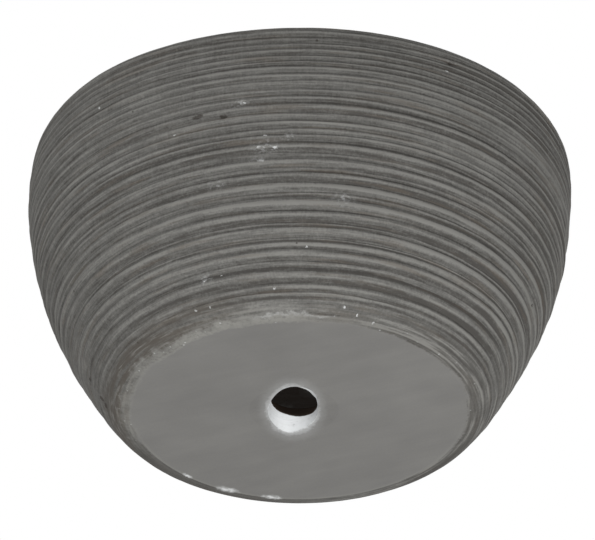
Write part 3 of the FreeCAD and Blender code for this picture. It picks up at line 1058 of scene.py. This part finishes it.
def studio_floor(colours):
    """Pale sheet that shows the pot's shadow from above, with a painted shadow under its base where its glow
    fades out, and nothing from below, and fades out at its rim.
    """
    material, tree, place = new_material("matt_studio_floor")
    radius = axis_distance(tree, place)
    tint = lay_over(tree, colours.studio, (colours.seam, grain(tree, place, 60), 0.06))
    paper = add(tree, "BsdfDiffuse", {"Color": tint})
    # The glow fades out under the pot's base, a painted shadow seen round the foot and through the drain hole
    glow_with_painted_shadow = join_masks(tree, seen_share(tree), (radius, 0.09, 0.12), FLOOR_GLOW)
    glow = add(tree, "Emission", {"Color": WHITE, "Strength": glow_with_painted_shadow})
    lit = add(tree, "AddShader", {0: paper, 1: glow})
    clear = add(tree, "BsdfTransparent", {})
    back = add(tree, "NewGeometry", {}, output="Backfacing")
    gone = join_masks(tree, back, (radius, 0.45, 1.1), operation="MAXIMUM")
    surface = add(tree, "MixShader", {0: gone, 1: lit, 2: clear})
    add(tree, "OutputMaterial", {"Surface": surface})
    return material


def lay_floor(colours):
    """A level sheet just under the base, which blocks no light from below."""
    half = 1.2
    under = -0.3 * MM
    corners = [(-half, -half, under), (half, -half, under), (half, half, under), (-half, half, under)]
    mesh = bpy.data.meshes.new("studio_floor")
    mesh.from_pydata(corners, [], [(0, 1, 2, 3)])
    mesh.materials.append(studio_floor(colours))
    sheet = bpy.data.objects.new("studio_floor", mesh)
    sheet.visible_shadow = False
    sheet.visible_diffuse = False
    sheet.visible_glossy = False
    bpy.context.scene.collection.objects.link(sheet)


def place_camera():
    """A long lens under the pot, as far off as the picture's perspective says."""
    turn = Euler((math.pi / 2 + VIEW_RISE, 0, 0))
    right, up, behind = turn.to_matrix().transposed()
    data = bpy.data.cameras.new("camera")
    data.sensor_width = SENSOR_WIDTH
    data.lens = VIEW_LENS
    camera = bpy.data.objects.new("camera", data)
    target = Vector((0, 0, VIEW_TARGET_HEIGHT))
    camera.location = target + behind * VIEW_DISTANCE + up * VIEW_LIFT + right * VIEW_SIDE
    camera.rotation_euler = turn
    bpy.context.scene.collection.objects.link(camera)
    bpy.context.scene.camera = camera


class PLANTER_OT_set_stage(bpy.types.Operator):
    """Set up the white studio: floor, lamps, world and camera"""

    bl_idname = "planter.set_stage"
    bl_label = "Set Stage"

    def execute(self, context):
        light_world()
        hang_lamps()
        lay_floor(context.scene.planter_colours)
        place_camera()
        context.scene.view_settings.view_transform = "Standard"
        return {"FINISHED"}


class PLANTER_PT_panel(bpy.types.Panel):
    """Steps and sizes of the planter"""

    bl_idname = "PLANTER_PT_panel"
    bl_label = "Bowl Planter"
    bl_space_type = "VIEW_3D"
    bl_region_type = "UI"
    bl_category = "Planter"

    def draw(self, context):
        for operator in OPERATORS:
            self.layout.operator(operator.bl_idname)
        for group in (context.scene.planter_sizes, context.scene.planter_colours):
            box = self.layout.box()
            for name in group.__annotations__:
                box.prop(group, name)


OPERATORS = (
    PLANTER_OT_comb_wall,
    PLANTER_OT_trowel_base,
    PLANTER_OT_line_drain,
    PLANTER_OT_brush_seal,
    PLANTER_OT_finish_pours,
    PLANTER_OT_set_stage,
)
CLASSES = (PlanterSizes, PlanterColours, *OPERATORS, PLANTER_PT_panel)


def register():
    for each in CLASSES:
        bpy.utils.register_class(each)
    bpy.types.Scene.planter_sizes = PointerProperty(type=PlanterSizes)
    bpy.types.Scene.planter_colours = PointerProperty(type=PlanterColours)


def unregister():
    del bpy.types.Scene.planter_colours
    del bpy.types.Scene.planter_sizes
    for each in reversed(CLASSES):
        bpy.utils.unregister_class(each)


def main():
    register()
    bpy.ops.planter.comb_wall()
    bpy.ops.planter.trowel_base()
    bpy.ops.planter.line_drain()
    bpy.ops.planter.brush_seal()
    bpy.ops.planter.finish_pours()
    bpy.ops.planter.set_stage()


if __name__ == "__main__":
    main()
